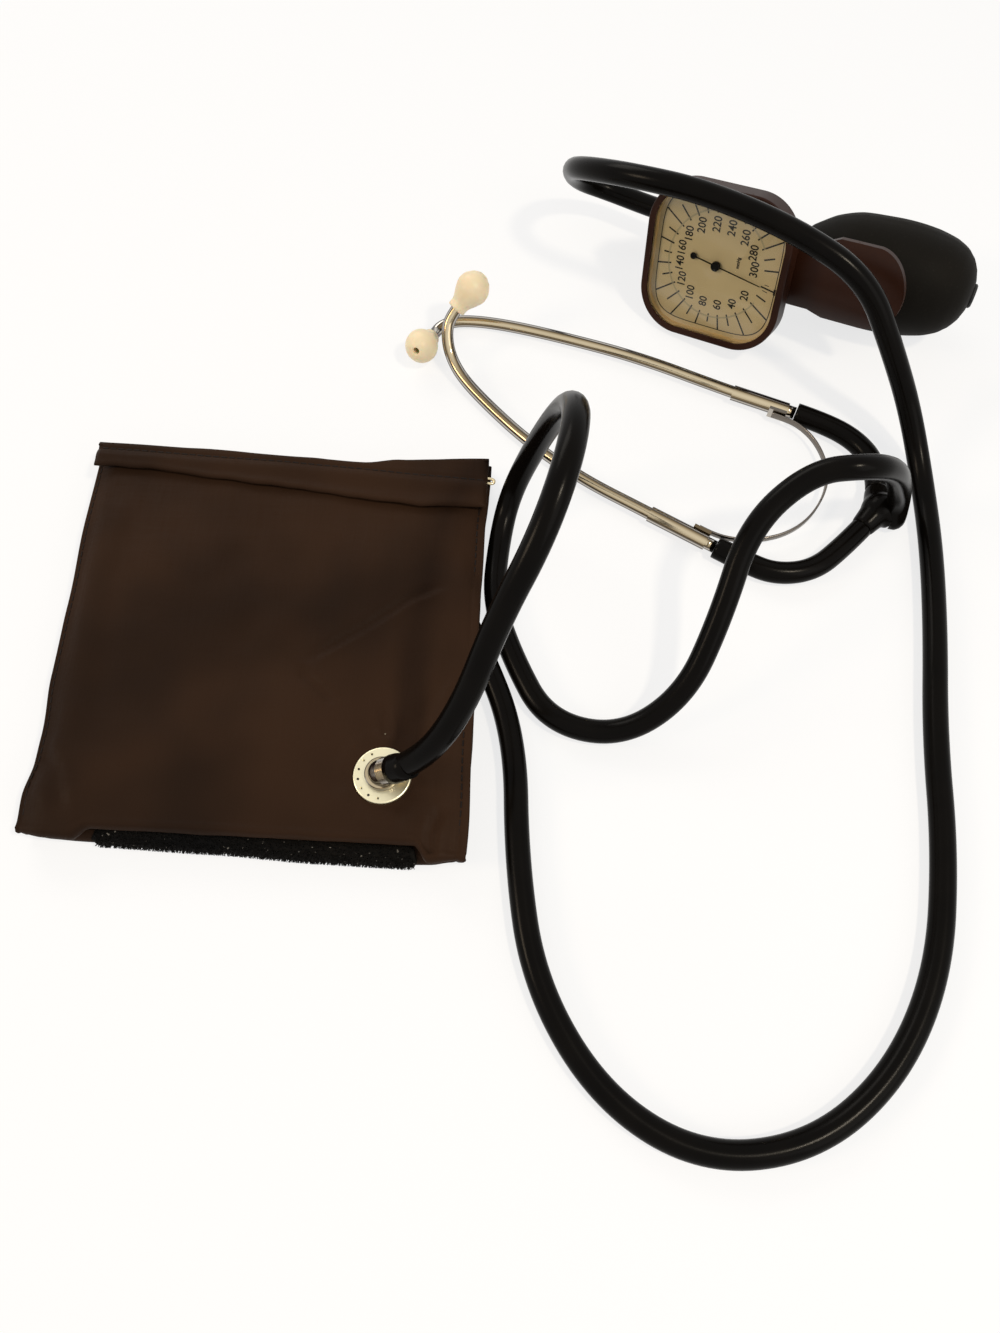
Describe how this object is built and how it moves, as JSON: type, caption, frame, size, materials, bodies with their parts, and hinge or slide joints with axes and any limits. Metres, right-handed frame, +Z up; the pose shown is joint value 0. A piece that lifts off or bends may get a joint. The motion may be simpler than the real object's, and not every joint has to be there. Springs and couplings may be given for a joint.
{
  "type": "aneroid sphygmomanometer with attached stethoscope",
  "caption": "Folded blood-pressure cuff with a sewn-in stethoscope head, hose-linked hand gauge with squeeze bulb, and binaural ear piece, as laid on a table.",
  "frame": {"origin": "middle of the folded cuff's underside, on the table", "axes": "+Z up, +X along the cuff's folds towards the gauge, +Y towards the cuff's end flap"},
  "size_m": [0.3435, 0.3839, 0.1044],
  "materials": {
    "cuff_cloth": "dark brown woven nylon",
    "hook_tape": "black hook pile",
    "loop_cloth": "brushed loop pile",
    "bag_rubber": "smooth",
    "hose_rubber": "near-black, glossy",
    "bar_wire": "bright wire",
    "cast_metal": "cast, satin, with small pits",
    "membrane": "thin stiff film",
    "bright_chrome": "plated, polished",
    "spring_steel": "ground strip",
    "ear_ivory": "soft ivory",
    "case_plastic": "dark reddish brown moulding, satin",
    "bulb_rubber": "matte black",
    "clear_glass": "clear window",
    "dial_face": "cream print ground",
    "pointer_black": "black lacquer",
    "movement_brass": "turned and stamped",
    "plated_brass": "nickel plated",
    "seal_black": "moulded seal",
    "screw_steel": "plain",
    "block_metal": "die cast, dark",
    "capsule_bronze": "corrugated sheet",
    "ball_steel": "polished ball"
  },
  "bodies": {
    "root": {"cuff_sleeve": "cuff_cloth", "cuff_bladder": "bag_rubber", "bladder_nozzle": "bag_rubber", "hook_strip": "hook_tape", "loop_strip": "loop_cloth", "chestpiece_flange": "cast_metal", "chestpiece_bell": "cast_metal", "chestpiece_diaphragm": "membrane", "diaphragm_ring": "seal_black", "clamp_nut": "bright_chrome", "hose_nipple": "bright_chrome", "stethoscope_hose": "hose_rubber", "pressure_hose": "hose_rubber", "branch_hose_1": "hose_rubber", "branch_hose_2": "hose_rubber", "y_connector": "hose_rubber", "leaf_spring": "spring_steel", "gauge_housing": "case_plastic", "case_gasket": "seal_black", "gauge_back_cover": "case_plastic", "cover_screws": "screw_steel", "dial_plate": "dial_face", "lens_gasket": "seal_black", "lens": "clear_glass", "bezel_ring": "case_plastic", "movement_plate": "movement_brass", "movement_bridge": "movement_brass", "movement_pillars": "movement_brass", "movement_screws": "screw_steel", "hairspring": "spring_steel", "capsule_body": "capsule_bronze", "spoon_handle": "case_plastic", "air_block": "block_metal", "hose_barb": "plated_brass", "bulb_nipple": "plated_brass", "squeeze_bulb": "bulb_rubber", "end_valve_body": "plated_brass", "valve_body": "plated_brass"},
    "end_flap": {"bar_flap": "cuff_cloth", "metal_bar": "bar_wire"},
    "ear_arm_1": {"ear_tube_1": "bright_chrome", "ear_tip_1": "ear_ivory", "spring_clip_1": "bright_chrome"},
    "ear_arm_2": {"ear_tube_2": "bright_chrome", "ear_tip_2": "ear_ivory", "spring_clip_2": "bright_chrome"},
    "sector": {"sector_gear": "movement_brass"},
    "pointer_shaft": {"pinion_arbor": "movement_brass", "pointer": "pointer_black"},
    "rocker": {"rocking_shaft": "screw_steel"},
    "capsule_top": {"capsule_pad": "movement_brass"},
    "non_return_ball": {"check_ball": "ball_steel"},
    "air_inlet_ball": {"inlet_ball": "ball_steel"},
    "release_needle": {"valve_needle": "plated_brass"},
    "release_knob": {"valve_knob": "plated_brass"}
  },
  "joints": [
    {"name": "ear_arm_1_spread", "type": "hinge", "parent": "root", "child": "ear_arm_1", "pos_m": [0.2055, 0.081, 0.0046], "axis": [0, 0, -1], "range_deg": [0, 8], "stiffness_Nm_per_rad": 1.5, "deforming": ["leaf_spring", "branch_hose_1"]},
    {"name": "ear_arm_2_spread", "type": "hinge", "parent": "root", "child": "ear_arm_2", "pos_m": [0.2055, 0.081, 0.0046], "axis": [0, 0, 1], "range_deg": [0, 10], "stiffness_Nm_per_rad": 1.5, "deforming": ["leaf_spring", "branch_hose_2"]},
    {"name": "end_flap_lift", "type": "hinge", "parent": "root", "child": "end_flap", "pos_m": [0, 0.076, 0.0141], "axis": [-1, 0, 0], "range_deg": [0, 150]},
    {"name": "sector_turn", "type": "hinge", "parent": "root", "child": "sector", "pos_m": [0.15828, 0.16231, 0.0146], "axis": [-0.5145, -0.8001, 0.3084], "range_deg": [0, 28.5], "stiffness_Nm_per_rad": 0.003},
    {"name": "pointer_turn", "type": "hinge", "parent": "root", "child": "pointer_shaft", "pos_m": [0.1605, 0.1597, 0.03165], "axis": [0.5145, 0.8001, -0.3084], "range_deg": [0, 342.2], "deforming": ["hairspring"]},
    {"name": "rocker_turn", "type": "hinge", "parent": "root", "child": "rocker", "pos_m": [0.16227, 0.17242, 0.02673], "axis": [0.0021, -0.3609, -0.9326], "range_deg": [0, 19.2]},
    {"name": "capsule_rise", "type": "slide", "parent": "root", "child": "capsule_top", "axis": [-0.5145, -0.8001, 0.3084], "range_m": [0, 0.0018]},
    {"name": "non_return_ball_lift", "type": "slide", "parent": "root", "child": "non_return_ball", "axis": [-0.8575, 0.4792, -0.1874], "range_m": [0, 0.00055]},
    {"name": "air_inlet_ball_lift", "type": "slide", "parent": "root", "child": "air_inlet_ball", "axis": [-0.9315, 0.354, -0.0838], "range_m": [0, 0.00055]},
    {"name": "release_needle_travel", "type": "slide", "parent": "root", "child": "release_needle", "axis": [-0.8575, 0.4792, -0.1874], "range_m": [0, 0.00105]},
    {"name": "release_knob_turn", "type": "hinge", "parent": "release_needle", "child": "release_knob", "pos_m": [0.16394, 0.20071, 0.01407], "axis": [-0.8575, 0.4792, -0.1874], "range_deg": [0, 540]}
  ],
  "couplings": [
    {"joint": "pointer_turn", "follows": "sector_turn", "ratio": 12},
    {"joint": "rocker_turn", "follows": "sector_turn", "ratio": 0.67},
    {"joint": "capsule_rise", "follows": "sector_turn", "m_per_rad": 0.0036},
    {"joint": "release_knob_turn", "follows": "release_needle_travel", "rad_per_m": 8975}
  ]
}
